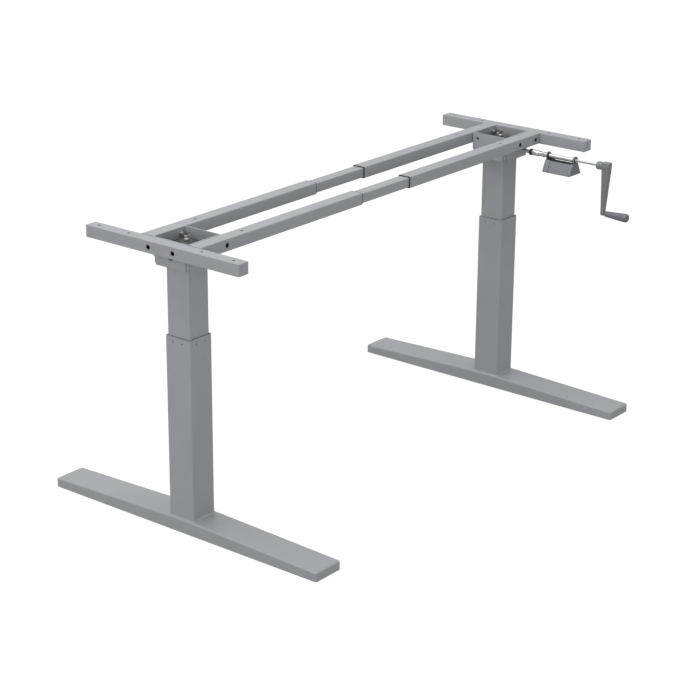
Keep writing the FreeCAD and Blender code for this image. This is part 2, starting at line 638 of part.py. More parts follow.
def outer_rail(side):
    """Rectangular steel tube bolted to the head's front or rear wall."""
    y = side * RAIL_Y
    near = y - side * RAIL_WIDTH / 2
    far = y + side * RAIL_WIDTH / 2
    tube = hollow(RAIL_OUTER_END, RAIL_INNER_END, y - RAIL_WIDTH / 2, y + RAIL_WIDTH / 2,
                  RAIL_BOTTOM, FRAME_TOP, RAIL_CORNER, RAIL_WALL, 0)
    holes = [
        rod(TOP_HOLE_DIAMETER, RAIL_HOLE_INSET, y, FRAME_TOP - RAIL_WALL - 1, (0, 0, 1), RAIL_WALL + 2),
        rod(DRIVER_HOLE_DIAMETER, RAIL_HOLE_INSET, y, RAIL_BOTTOM - 1, (0, 0, 1), RAIL_WALL + 2),
    ]
    for x in (-BOLT_SPREAD / 2, BOLT_SPREAD / 2):
        holes.append(rod(ACCESS_HOLE_DIAMETER, x, far + side, BOLT_Z, (0, -side, 0), RAIL_WALL + 2))
        holes.append(rod(BOLT_DIAMETER + 2 * SCREW_CLEARANCE, x, near - side, BOLT_Z,
                         (0, side, 0), RAIL_WALL + 2))
    return tube.cut(holes)


def inner_rail_size():
    """Width and height of the telescoping rail, from the outer rail and its sleeve."""
    gap = RAIL_WALL + SLEEVE_LINING + SLIDE_CLEARANCE
    return RAIL_WIDTH - 2 * gap, RAIL_HEIGHT - 2 * gap


def rail_sleeves():
    """Two black plastic sleeves that line the rails' mouths."""
    sleeves = []
    mouth = RAIL_INNER_END
    middle_z = (FRAME_TOP + RAIL_BOTTOM) / 2
    for side in (-1, 1):
        y = side * RAIL_Y
        half_y = RAIL_WIDTH / 2 - RAIL_WALL
        half_z = RAIL_HEIGHT / 2 - RAIL_WALL
        lining = eased_box(mouth - SLEEVE_LENGTH, mouth + SLEEVE_FLANGE, y - half_y, y + half_y,
                           middle_z - half_z, middle_z + half_z, RAIL_CORNER - RAIL_WALL, 0)
        flange = eased_box(mouth, mouth + SLEEVE_FLANGE, y - RAIL_WIDTH / 2, y + RAIL_WIDTH / 2,
                           RAIL_BOTTOM, FRAME_TOP, RAIL_CORNER, 0)
        room_y = half_y - SLEEVE_LINING
        room_z = half_z - SLEEVE_LINING
        room = box(mouth - SLEEVE_LENGTH, mouth + SLEEVE_FLANGE, y - room_y, y + room_y,
                   middle_z - room_z, middle_z + room_z)
        sleeves.append(lining.fuse(flange).cut(room).removeSplitter())
    return Part.Compound(sleeves)


def inner_rail(side):
    """Telescoping tube that joins the left and right rails, in the whole desk's frame."""
    y = side * RAIL_Y
    width, height = inner_rail_size()
    middle_z = (FRAME_TOP + RAIL_BOTTOM) / 2
    half = INNER_RAIL_LENGTH / 2
    return hollow(-half, half, y - width / 2, y + width / 2, middle_z - height / 2,
                  middle_z + height / 2, 2.0, INNER_RAIL_WALL, 0)


# ---- cross shaft ----

def cross_pinion():
    """Pinion of the cross shaft, towards the middle of the desk."""
    return bevel(CROSS_PINION_FROM, GEAR_REACH, 0)


def left_cross_tube():
    """Left half of the cross shaft: pinion and a tube with a hexagonal bore."""
    shaft = rod(SHAFT_DIAMETER, GEAR_REACH, 0, 0, (1, 0, 0),
                COLUMN_SPACING / 2 + CROSS_TUBE_END - GEAR_REACH)
    whole = cross_pinion().fuse(shaft)
    bore_from = CROSS_STUB_END
    bore = hexagon(HEX_FLATS + 2 * HEX_CLEARANCE, (bore_from, 0, 0),
                   (COLUMN_SPACING / 2 + CROSS_TUBE_END - bore_from + 1, 0, 0))
    whole = whole.cut(bore)
    whole.translate(FreeCAD.Vector(-COLUMN_SPACING / 2, 0, SHAFT_Z))
    return whole


def right_cross_rod():
    """Right half of the cross shaft: pinion, round stub and a hexagonal rod."""
    stub = rod(SHAFT_DIAMETER, GEAR_REACH, 0, 0, (1, 0, 0), CROSS_STUB_END - GEAR_REACH)
    hexagonal = hexagon(HEX_FLATS, (CROSS_STUB_END - 1, 0, 0),
                        (COLUMN_SPACING / 2 + CROSS_ROD_END - CROSS_STUB_END + 1, 0, 0))
    whole = cross_pinion().fuse([stub, hexagonal])
    whole.rotate(FreeCAD.Vector(0, 0, 0), FreeCAD.Vector(0, 0, 1), 180)
    whole.translate(FreeCAD.Vector(COLUMN_SPACING / 2, 0, SHAFT_Z))
    return whole


# ---- crank line: forwards is -Y, on the right column's axis ----

def on_crank_line(shape):
    """Moves a shape from the crank line's own frame to the right leg."""
    shape.translate(FreeCAD.Vector(RIGHT_X, 0, SHAFT_Z))
    return shape


def forward_rod(diameter, start, end):
    """A round piece on the crank line between two distances from the column axis."""
    return rod(diameter, 0, -start, 0, (0, -1, 0), end - start)


def forward_hex(flats, start, end):
    """A hexagonal piece on the crank line."""
    return hexagon(flats, (0, -start, 0), (0, -(end - start), 0))


def drive_shaft():
    """Input shaft of the gearbox with its bevel pinion."""
    pinion = bevel(CRANK_PINION_FROM, CRANK_PINION_TO, 0)
    pinion.rotate(FreeCAD.Vector(0, 0, 0), FreeCAD.Vector(0, 0, 1), -90)
    return on_crank_line(pinion.fuse(forward_rod(SHAFT_DIAMETER, CRANK_PINION_TO, COUPLING_MIDDLE)))


def drive_ring():
    """Black plastic ring on the input shaft, just in front of the rail."""
    ring = forward_rod(RING_DIAMETER, RING_AT, RING_AT + RING_WIDTH)
    ring = ring.makeFillet(1.5, [e for e in ring.Edges if isinstance(e.Curve, Part.Circle)])
    return on_crank_line(ring.cut(forward_rod(SHAFT_DIAMETER, RING_AT - 1, RING_AT + RING_WIDTH + 1)))


def coupling_sleeve():
    """Stepped steel sleeve that joins the input shaft to the drive tube."""
    sleeve = forward_rod(COUPLING_DIAMETER, COUPLING_AT, COUPLING_MIDDLE)
    sleeve = sleeve.fuse(forward_rod(COUPLING_STEP_DIAMETER, COUPLING_MIDDLE, COUPLING_END - 6))
    sleeve = sleeve.fuse(forward_rod(COUPLING_DIAMETER, COUPLING_END - 6, COUPLING_END))
    bore = forward_rod(SHAFT_DIAMETER, COUPLING_AT, COUPLING_MIDDLE)
    tube_bore = forward_rod(DRIVE_TUBE_DIAMETER, COUPLING_MIDDLE, COUPLING_END)
    return on_crank_line(sleeve.cut([bore, tube_bore]).removeSplitter())


def drive_tube():
    """Steel tube with a hexagonal bore that the crank's rod slides in."""
    tube = forward_rod(DRIVE_TUBE_DIAMETER, COUPLING_MIDDLE, DRIVE_TUBE_END)
    bore = forward_hex(HEX_FLATS + 2 * HEX_CLEARANCE, COUPLING_MIDDLE, DRIVE_TUBE_END)
    return on_crank_line(tube.cut(bore))


def crank_rod():
    """Hexagonal rod of the crank: it turns the drive tube and pulls out of it."""
    return on_crank_line(forward_hex(HEX_FLATS, CRANK_ROD_START, HUB_END - 10))


def rounded_section(width, back, front, z, corner):
    """A rounded rectangle across the arm at height z, from back to front."""
    block = eased_box(-width / 2, width / 2, -front, -back, z, z + 1, corner, 2)
    for face in block.Faces:
        if abs(face.CenterOfMass.z - z) < 0.01:
            return face.OuterWire
    return None


def crank_arm():
    """Cast crank: a hub on the rod and a tapered arm down to the grip."""
    hub = forward_rod(HUB_DIAMETER, HUB_START, HUB_END - ARM_TOP_DEPTH / 2)
    hub = hub.makeChamfer(2.0, [e for e in hub.Edges if abs(e.CenterOfMass.y + HUB_START) < 0.1
                                and isinstance(e.Curve, Part.Circle)])
    shoulder = HUB_DIAMETER / 2 + 1
    top = rounded_section(ARM_TOP_WIDTH, HUB_END - ARM_TOP_DEPTH, HUB_END, shoulder, 5.0)
    tip_z = -CRANK_THROW - ARM_TIP_WIDTH / 2
    middle_z = -CRANK_THROW * 0.28
    middle_width = ARM_TOP_WIDTH * 0.86
    middle = rounded_section(middle_width, ARM_TIP_BACK - 0.5, HUB_END - 3.5, middle_z, 4.5)
    tip = rounded_section(ARM_TIP_WIDTH, ARM_TIP_BACK, ARM_TIP_BACK + ARM_TIP_DEPTH, tip_z, 3.0)
    arm = Part.makeLoft([top, middle], True, True).fuse(Part.makeLoft([middle, tip], True, True))
    crank = hub.fuse(arm)
    pin_hole = rod(GRIP_PIN_DIAMETER, 0, -ARM_TIP_BACK, -CRANK_THROW, (0, -1, 0),
                   GRIP_START - ARM_TIP_BACK)
    rod_hole = forward_hex(HEX_FLATS, HUB_START, HUB_END - 10)
    return on_crank_line(crank.cut([pin_hole, rod_hole]).removeSplitter())


def grip_pin():
    """Steel pin pressed in the arm that the grip turns on."""
    length = GRIP_END - GRIP_END_WALL - 1 - ARM_TIP_BACK
    return on_crank_line(rod(GRIP_PIN_DIAMETER, 0, -ARM_TIP_BACK, -CRANK_THROW, (0, -1, 0), length))


def grip():
    """Free-turning handle, widening to its rounded end."""
    start_r = GRIP_START_DIAMETER / 2
    end_r = GRIP_END_DIAMETER / 2
    outline = [(0, -GRIP_START, 0), (start_r - 1, -GRIP_START, 0), (start_r, -GRIP_START - 1.5, 0),
               (end_r, -GRIP_END + 3.5, 0), (end_r - 1, -GRIP_END + 1, 0),
               (end_r - 3.5, -GRIP_END, 0), (0, -GRIP_END, 0)]
    corners = [FreeCAD.Vector(*p) for p in outline]
    face = Part.Face(Part.makePolygon(corners + corners[:1]))
    handle = face.revolve(FreeCAD.Vector(0, 0, 0), FreeCAD.Vector(0, 1, 0), 360)
    bore = forward_rod(GRIP_PIN_DIAMETER + 2 * RUNNING_CLEARANCE, GRIP_START, GRIP_END - GRIP_END_WALL)
    handle = handle.cut(bore)
    handle.translate(FreeCAD.Vector(0, 0, -CRANK_THROW))
    return on_crank_line(handle)


def bracket_cheek(start):
    """End plate of the bracket: a trapezium below a round ear."""
    wide = BRACKET_WIDTH / 2
    neck = BRACKET_NECK_WIDTH / 2
    low = -BRACKET_BASE_DROP
    plate = prism([(-wide, -start, low), (wide, -start, low), (neck, -start, -BRACKET_NECK_DROP),
                   (-neck, -start, -BRACKET_NECK_DROP)], (0, -BRACKET_THICKNESS, 0))
    ear = forward_rod(BRACKET_EAR_DIAMETER, start, start + BRACKET_THICKNESS)
    return plate.fuse(ear)


def crank_bracket():
    """Sheet-steel bracket that carries the drive tube and screws under the desk top."""
    end = BRACKET_START + BRACKET_LENGTH
    low = -BRACKET_BASE_DROP
    wide = BRACKET_WIDTH / 2
    base = box(-wide, wide, -end, -BRACKET_START, low, low + BRACKET_THICKNESS)
    cheeks = [bracket_cheek(BRACKET_START), bracket_cheek(end - BRACKET_THICKNESS)]
    neck = BRACKET_NECK_WIDTH / 2
    panels = []
    for side in (-1, 1):
        outer_low = side * (wide - BRACKET_PANEL_INSET)
        outer_high = side * (neck - 1)
        panels.append(prism(
            [(outer_low, -BRACKET_START, low), (outer_high, -BRACKET_START, -BRACKET_PANEL_TOP),
             (outer_high - side * BRACKET_PANEL_THICKNESS, -BRACKET_START, -BRACKET_PANEL_TOP),
             (outer_low - side * BRACKET_PANEL_THICKNESS, -BRACKET_START, low)],
            (0, -BRACKET_LENGTH, 0)))
    whole = base.fuse(cheeks + panels)
    bore = forward_rod(DRIVE_TUBE_DIAMETER + 2 * RUNNING_CLEARANCE + 2 * BUSH_WALL,
                       BRACKET_START - 1, end + 1)
    cuts = [bore]
    centre = BRACKET_START + BRACKET_LENGTH / 2
    for sx in (-1, 1):
        for sy in (-1, 1):
            cuts.append(rod(BRACKET_HOLE_DIAMETER, sx * BRACKET_HOLE_SPREAD_X / 2,
                            -centre + sy * BRACKET_HOLE_SPREAD_Y / 2, low - 1, (0, 0, 1),
                            BRACKET_THICKNESS + 2))
    return on_crank_line(whole.cut(cuts).removeSplitter())


def bracket_bushes():
    """Two flanged plastic bushes in the bracket's ears."""
    end = BRACKET_START + BRACKET_LENGTH
    outer = DRIVE_TUBE_DIAMETER + 2 * RUNNING_CLEARANCE + 2 * BUSH_WALL
    bore = forward_rod(DRIVE_TUBE_DIAMETER + 2 * RUNNING_CLEARANCE, BRACKET_START - 10, end + 10)
    bushes = []
    for start, inward in ((BRACKET_START, 1), (end - BRACKET_THICKNESS, -1)):
        sleeve = forward_rod(outer, start, start + BRACKET_THICKNESS)
        flange_from = start + BRACKET_THICKNESS if inward > 0 else start - BUSH_FLANGE
        flange = forward_rod(outer + 3, flange_from, flange_from + BUSH_FLANGE)
        bushes.append(sleeve.fuse(flange).cut(bore).removeSplitter())
    return on_crank_line(Part.Compound(bushes))


# ---- putting the legs in place and writing every piece ----

def stand(shape, leg):
    """Moves a piece of the leg's own frame to the left or the right leg."""
    placed = shape.copy()
    if leg == "right":
        placed.rotate(FreeCAD.Vector(0, 0, 0), FreeCAD.Vector(0, 0, 1), 180)
    shift = COLUMN_SPACING / 2 if leg == "right" else -COLUMN_SPACING / 2
    placed.translate(FreeCAD.Vector(shift, 0, 0))
    return placed


def leg_pieces(front):
    """Every piece that both legs have.  front is the sign of Y, in the leg's frame, of the front."""
    return {
        "foot": foot(),
        "glide_front": glide(front),
        "glide_rear": glide(-front),
        "column_base": column_base(),
        "foot_screws": foot_screws(),
        "outer_column": outer_column(),
        "upper_guides": upper_guides(),
        "nut_tube": nut_tube(),
        "lift_nut": lift_nut(),
        "inner_column": inner_column(),
        "lower_guides": lower_guides(),
        "head": head(),
        "gearbox": gearbox(),
        "gearbox_cover": gearbox_cover(),
        "gearbox_screws": gearbox_screws(),
        "head_bolts": head_bolts(),
        "side_bar": side_bar(),
        "rail_front": outer_rail(front),
        "rail_rear": outer_rail(-front),
        "rail_sleeves": rail_sleeves(),
        "spindle": spindle(),
        "spindle_gear": spindle_gear(),
        "spindle_bearing": spindle_bearing(),
    }


pieces = {}
for leg, front in (("left", -1), ("right", 1)):
    for name, shape in leg_pieces(front).items():
        pieces[leg + "_" + name] = stand(shape, leg)
pieces["inner_rail_front"] = inner_rail(-1)
pieces["inner_rail_rear"] = inner_rail(1)
pieces["left_cross_tube"] = left_cross_tube()
pieces["right_cross_rod"] = right_cross_rod()
pieces["drive_shaft"] = drive_shaft()
pieces["drive_ring"] = drive_ring()
pieces["coupling_sleeve"] = coupling_sleeve()
pieces["drive_tube"] = drive_tube()
pieces["crank_rod"] = crank_rod()
pieces["crank_arm"] = crank_arm()
pieces["grip_pin"] = grip_pin()
pieces["grip"] = grip()
pieces["crank_bracket"] = crank_bracket()
pieces["bracket_bushes"] = bracket_bushes()

os.makedirs("parts", exist_ok=True)
for name, shape in pieces.items():
    shape.exportStep("parts/" + name + ".step")
print(len(pieces), "pieces written")
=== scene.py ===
import math
import bpy
from mathutils import Matrix, Vector


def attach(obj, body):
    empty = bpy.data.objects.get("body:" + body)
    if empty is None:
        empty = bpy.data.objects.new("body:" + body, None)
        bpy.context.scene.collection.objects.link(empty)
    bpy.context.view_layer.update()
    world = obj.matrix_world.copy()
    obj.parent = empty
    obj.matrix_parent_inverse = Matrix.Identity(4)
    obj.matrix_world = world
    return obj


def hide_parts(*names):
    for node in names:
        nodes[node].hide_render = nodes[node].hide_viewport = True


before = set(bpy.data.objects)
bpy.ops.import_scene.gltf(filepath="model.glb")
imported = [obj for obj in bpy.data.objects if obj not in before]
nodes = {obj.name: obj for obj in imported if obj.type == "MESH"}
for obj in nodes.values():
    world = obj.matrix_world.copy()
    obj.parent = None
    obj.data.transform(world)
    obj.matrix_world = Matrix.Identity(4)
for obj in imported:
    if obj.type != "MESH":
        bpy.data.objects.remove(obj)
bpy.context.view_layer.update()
bpy.ops.object.select_all(action="DESELECT")

# ---- camera ----
# The frame is seen from its left front corner and a little above.
# A long lens keeps its far side nearly as large as its near side.
VIEW_FROM = Vector((-3.868, -3.044, 2.098))
VIEW_YAW = math.radians(51.61)
VIEW_DIP = math.radians(20.28)
VIEW_ROLL = math.radians(0.455)
bpy.ops.object.camera_add(location=VIEW_FROM)
camera = bpy.context.object
camera.data.lens = 104.5
camera.data.sensor_width = 36.0
camera.data.clip_end = 60.0
turn = Matrix.Rotation(-VIEW_YAW, 4, "Z") @ Matrix.Rotation(math.pi / 2 - VIEW_DIP, 4, "X")
camera.rotation_euler = (turn @ Matrix.Rotation(VIEW_ROLL, 4, "Z")).to_euler()
bpy.context.scene.camera = camera

# ---- floor ----
# A plain white studio floor.  It stays white behind the object,
# and keeps a faint part of the object's soft shadow.
FLOOR_SIZE = 40.0
SHADOW_SHARE = 0.16
bpy.ops.mesh.primitive_plane_add(size=FLOOR_SIZE, location=(0, 0, -0.0005))
floor = bpy.context.object
floor.name = "studio_floor"
floor_paint = bpy.data.materials.new("floor_paint")
floor_paint.use_nodes = True
tree = floor_paint.node_tree
tree.nodes.clear()
floor_out = tree.nodes.new("ShaderNodeOutputMaterial")
floor_mix = tree.nodes.new("ShaderNodeMixShader")
floor_matt = tree.nodes.new("ShaderNodeBsdfDiffuse")
floor_matt.inputs["Color"].default_value = (0.5, 0.5, 0.5, 1)
floor_white = tree.nodes.new("ShaderNodeEmission")
floor_white.inputs["Color"].default_value = (1, 1, 1, 1)
floor_white.inputs["Strength"].default_value = 1.16
ray = tree.nodes.new("ShaderNodeLightPath")
seen = tree.nodes.new("ShaderNodeMath")
seen.operation = "MULTIPLY"
seen.inputs[1].default_value = 1 - SHADOW_SHARE
tree.links.new(ray.outputs["Is Camera Ray"], seen.inputs[0])
tree.links.new(seen.outputs[0], floor_mix.inputs["Fac"])
tree.links.new(floor_matt.outputs[0], floor_mix.inputs[1])
tree.links.new(floor_white.outputs[0], floor_mix.inputs[2])
tree.links.new(floor_mix.outputs[0], floor_out.inputs["Surface"])
floor.data.materials.append(floor_paint)

# ---- lights ----
# A pale studio: an even grey surround that looks white, a large soft box above,
# another to the left, and a weaker one in front.
SURROUND = 0.45
world = bpy.data.worlds.new("studio")
bpy.context.scene.world = world
world.use_nodes = True
tree = world.node_tree
tree.nodes.clear()
world_out = tree.nodes.new("ShaderNodeOutputWorld")
grey = tree.nodes.new("ShaderNodeBackground")
grey.inputs["Color"].default_value = (0.98, 0.99, 1.0, 1)
grey.inputs["Strength"].default_value = SURROUND
white = tree.nodes.new("ShaderNodeBackground")
white.inputs["Color"].default_value = (1, 1, 1, 1)
white.inputs["Strength"].default_value = 1.0
world_mix = tree.nodes.new("ShaderNodeMixShader")
ray = tree.nodes.new("ShaderNodeLightPath")
either = tree.nodes.new("ShaderNodeMath")
either.operation = "MAXIMUM"
glassy = tree.nodes.new("ShaderNodeMath")
glassy.operation = "MAXIMUM"
tree.links.new(ray.outputs["Is Glossy Ray"], glassy.inputs[0])
tree.links.new(ray.outputs["Is Transmission Ray"], glassy.inputs[1])
tree.links.new(ray.outputs["Is Camera Ray"], either.inputs[0])
tree.links.new(glassy.outputs[0], either.inputs[1])
tree.links.new(either.outputs[0], world_mix.inputs["Fac"])
tree.links.new(grey.outputs[0], world_mix.inputs[1])
tree.links.new(white.outputs[0], world_mix.inputs[2])
tree.links.new(world_mix.outputs[0], world_out.inputs["Surface"])


def soft_box(name, place, aim, size, power):
    """A large square area lamp that points at a spot."""
    bpy.ops.object.light_add(type="AREA", location=place)
    lamp = bpy.context.object
    lamp.name = name
    lamp.data.shape = "SQUARE"
    lamp.data.size = size
    lamp.data.energy = power
    lamp.rotation_euler = (Vector(aim) - Vector(place)).to_track_quat("-Z", "Y").to_euler()


soft_box("soft_box_above", (-0.8, 0.6, 4.2), (0, 0, 0.5), 2.6, 88)
soft_box("soft_box_left", (-4.5, -0.5, 1.9), (0, 0, 0.45), 2.4, 58)
soft_box("soft_box_front", (0.6, -4.6, 1.7), (0, 0, 0.45), 2.4, 37)
bpy.context.scene.view_settings.view_transform = "Standard"

# ---- feet ----
# Each foot is a folded steel channel, tapered to both ends and powder coated silver grey.
# The same coat is on the columns, heads, side bars, rails and crank bracket.


def coat(name, colour, metal, rough, grain=0.05, grain_size=900.0, cloud=0.03):
    """Powder coat or enamel: a fine pebbled skin, faint flake in the colour and slight cloudiness."""
    made = bpy.data.materials.new(name)
    made.use_nodes = True
    nodes_of = made.node_tree.nodes
    link = made.node_tree.links.new
    skin = nodes_of["Principled BSDF"]
    skin.inputs["Metallic"].default_value = metal
    skin.inputs["Coat Weight"].default_value = 0.06
    skin.inputs["Coat Roughness"].default_value = 0.35
    place = nodes_of.new("ShaderNodeTexCoord")
    flake = nodes_of.new("ShaderNodeTexNoise")
    flake.inputs["Scale"].default_value = grain_size * 1.6
    flake.inputs["Detail"].default_value = 1.0
    haze = nodes_of.new("ShaderNodeTexNoise")
    haze.inputs["Scale"].default_value = 5.0
    haze.inputs["Detail"].default_value = 3.0
    link(place.outputs["Object"], flake.inputs["Vector"])
    link(place.outputs["Object"], haze.inputs["Vector"])
    both = nodes_of.new("ShaderNodeMixRGB")
    both.inputs["Fac"].default_value = 0.5
    link(flake.outputs["Fac"], both.inputs["Color1"])
    link(haze.outputs["Fac"], both.inputs["Color2"])
    shade = nodes_of.new("ShaderNodeValToRGB")
    spread = 1 + 2.2 * cloud
    shade.color_ramp.elements[0].position = 0.3
    shade.color_ramp.elements[1].position = 0.7
    shade.color_ramp.elements[0].color = [c / spread for c in colour] + [1]
    shade.color_ramp.elements[1].color = [c * spread for c in colour] + [1]
    link(both.outputs["Color"], shade.inputs["Fac"])
    link(shade.outputs["Color"], skin.inputs["Base Color"])
    gloss = nodes_of.new("ShaderNodeMapRange")
    gloss.inputs["To Min"].default_value = rough - 0.06
    gloss.inputs["To Max"].default_value = rough + 0.06
    link(haze.outputs["Fac"], gloss.inputs["Value"])
    link(gloss.outputs["Result"], skin.inputs["Roughness"])
    pebble = nodes_of.new("ShaderNodeTexNoise")
    pebble.inputs["Scale"].default_value = grain_size
    pebble.inputs["Detail"].default_value = 2.0
    link(place.outputs["Object"], pebble.inputs["Vector"])
    bump = nodes_of.new("ShaderNodeBump")
    bump.inputs["Strength"].default_value = grain
    bump.inputs["Distance"].default_value = 0.0003
    link(pebble.outputs["Fac"], bump.inputs["Height"])
    link(bump.outputs["Normal"], skin.inputs["Normal"])
    return made


def finish_node(name, material, smooth=None):
    """Gives a carried-over CAD node its material, and smooth shading over shallow folds."""
    thing = nodes[name]
    thing.data.materials.clear()
    thing.data.materials.append(material)
    if smooth:
        bpy.ops.object.select_all(action="DESELECT")
        thing.select_set(True)
        bpy.context.view_layer.objects.active = thing
        bpy.ops.object.shade_smooth_by_angle(angle=math.radians(smooth))
        thing.select_set(False)


SILVER = (0.345, 0.35, 0.365)
silver_coat = coat("silver_powder_coat", SILVER, 0.15, 0.52)
LEG_X = 0.629
LEGS = (("left", -LEG_X), ("right", LEG_X))
for leg, leg_x in LEGS:
    finish_node(f"{leg}_foot", silver_coat, 30)

# ---- levelling glides ----
# Black moulded glides that screw into a bracket inside each end of the foot.
# Each is turned from its sole up: a rounded pad, a neck and the stem.


def moulded(name, colour, rough, grain=0.15, grain_size=600.0):
    """Moulded plastic: an even colour with a fine spark-eroded texture."""
    made = bpy.data.materials.new(name)
    made.use_nodes = True
    nodes_of = made.node_tree.nodes
    link = made.node_tree.links.new
    skin = nodes_of["Principled BSDF"]
    place = nodes_of.new("ShaderNodeTexCoord")
    texture = nodes_of.new("ShaderNodeTexNoise")
    texture.inputs["Scale"].default_value = grain_size
    texture.inputs["Detail"].default_value = 2.0
    link(place.outputs["Object"], texture.inputs["Vector"])
    shade = nodes_of.new("ShaderNodeValToRGB")
    shade.color_ramp.elements[0].color = [c * 0.9 for c in colour] + [1]
    shade.color_ramp.elements[1].color = [c * 1.1 for c in colour] + [1]
    link(texture.outputs["Fac"], shade.inputs["Fac"])
    link(shade.outputs["Color"], skin.inputs["Base Color"])
    gloss = nodes_of.new("ShaderNodeMapRange")
    gloss.inputs["To Min"].default_value = rough - 0.05
    gloss.inputs["To Max"].default_value = rough + 0.08
    link(texture.outputs["Fac"], gloss.inputs["Value"])
    link(gloss.outputs["Result"], skin.inputs["Roughness"])
    bump = nodes_of.new("ShaderNodeBump")
    bump.inputs["Strength"].default_value = grain
    bump.inputs["Distance"].default_value = 0.0003
    link(texture.outputs["Fac"], bump.inputs["Height"])
    link(bump.outputs["Normal"], skin.inputs["Normal"])
    return made


black_plastic = moulded("black_plastic", (0.012, 0.012, 0.013), 0.5)


def turned_piece(name, place, turn, profile, sides, material, body):
    """A turned piece.  Its profile gives distance along its axis and diameter there, in millimetres."""
    bpy.ops.object.select_all(action="DESELECT")
    bpy.ops.mesh.primitive_circle_add(vertices=sides, radius=profile[0][1] / 2000, fill_type="NGON")
    piece = bpy.context.object
    piece.name = name
    bpy.ops.object.mode_set(mode="EDIT")
    bpy.ops.mesh.select_all(action="SELECT")
    bpy.ops.transform.translate(value=(0, 0, profile[0][0] / 1000))
    for (d0, w0), (d1, w1) in zip(profile, profile[1:]):
        bpy.ops.mesh.extrude_region_move(TRANSFORM_OT_translate={"value": (0, 0, (d1 - d0) / 1000)})
        bpy.ops.transform.resize(value=(w1 / w0, w1 / w0, 1))
    bpy.ops.mesh.select_all(action="SELECT")
    bpy.ops.mesh.normals_make_consistent(inside=False)
    bpy.ops.object.mode_set(mode="OBJECT")
    piece.rotation_euler = turn
    piece.location = place
    bpy.ops.object.transform_apply(location=True, rotation=True, scale=True)
    piece.data.materials.append(material)
    bpy.ops.object.shade_smooth_by_angle(angle=math.radians(35))
    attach(piece, body)
    return piece


GLIDE_Y = 0.4
for leg, leg_x in LEGS:
    for end, end_y in (("front", -GLIDE_Y), ("rear", GLIDE_Y)):
        pad = turned_piece(
            f"{leg}_{end}_glide_pad", (leg_x, end_y, 0), (0, 0, 0),
            [(0, 17), (0.15, 20.5), (0.7, 22.6), (1.6, 23.8), (2.6, 24), (3.1, 23.8), (3.3, 23.2),
             (3.5, 23.6), (4.3, 22.6), (4.9, 19.5), (5.0, 16.4), (5.3, 15.2), (5.4, 12.4), (7.3, 12),
             (7.5, 8.2), (24, 7.8)],
            48, black_plastic, f"{leg}_{end}_glide")
        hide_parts(f"{leg}_glide_{end}")

# ---- outer and inner columns ----
# Square steel tubes.  The outer one is welded to the foot, and the inner one slides in it
# on plastic pads and is welded to its head.  A bead runs round each weld.
for leg in ("left", "right"):
    for part in ("outer_column", "inner_column"):
        finish_node(f"{leg}_{part}", silver_coat, 30)
    for part in ("upper_guides", "lower_guides"):
        finish_node(f"{leg}_{part}", black_plastic, 30)


def square_piece(name, place, turn, profile, material, body, ease):
    """A square or oblong piece.  Its profile gives distance, width and depth, in millimetres."""
    bpy.ops.object.select_all(action="DESELECT")
    bpy.ops.mesh.primitive_plane_add(size=0.001)
    piece = bpy.context.object
    piece.name = name
    bpy.ops.object.mode_set(mode="EDIT")
    bpy.ops.mesh.select_all(action="SELECT")
    bpy.ops.transform.resize(value=(profile[0][1], profile[0][2], 1))
    bpy.ops.transform.translate(value=(0, 0, profile[0][0] / 1000))
    for (d0, w0, t0), (d1, w1, t1) in zip(profile, profile[1:]):
        bpy.ops.mesh.extrude_region_move(TRANSFORM_OT_translate={"value": (0, 0, (d1 - d0) / 1000)})
        bpy.ops.transform.resize(value=(w1 / w0, t1 / t0, 1))
    bpy.ops.mesh.select_all(action="SELECT")
    bpy.ops.mesh.normals_make_consistent(inside=False)
    bpy.ops.object.mode_set(mode="OBJECT")
    piece.rotation_euler = turn
    piece.location = place
    bpy.ops.object.transform_apply(location=True, rotation=True, scale=True)
    if ease:
        rounding = piece.modifiers.new("rounding", "BEVEL")
        rounding.width = ease / 1000
        rounding.segments = 3
        rounding.limit_method = "ANGLE"
        bpy.ops.object.modifier_apply(modifier=rounding.name)
    piece.data.materials.append(material)
    bpy.ops.object.shade_smooth_by_angle(angle=math.radians(35))
    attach(piece, body)
    return piece


FOOT_WELD_Z = 0.0422
HEAD_WELD_Z = 0.6712
for leg, leg_x in LEGS:
    square_piece(f"{leg}_foot_weld", (leg_x, 0, FOOT_WELD_Z), (0, 0, 0),
                 [(0, 79.6, 79.6), (0.5, 78.4, 78.4), (1.2, 77.2, 77.2), (2.2, 76.5, 76.5),
                  (2.6, 76.1, 76.1)],
                 silver_coat, f"{leg}_base", 0)
    square_piece(f"{leg}_head_weld", (leg_x, 0, HEAD_WELD_Z), (math.pi, 0, 0),
                 [(0, 71.8, 71.8), (0.6, 70.4, 70.4), (1.4, 69.2, 69.2), (2.6, 68.4, 68.4),
                  (3.0, 68.1, 68.1)],
                 silver_coat, f"{leg}_top", 0)

# ---- lifting gear inside the columns ----
# A turned lead screw with its gear and bearing, in oiled steel.
# A natural acetal nut runs on it, and a tube carries the nut.


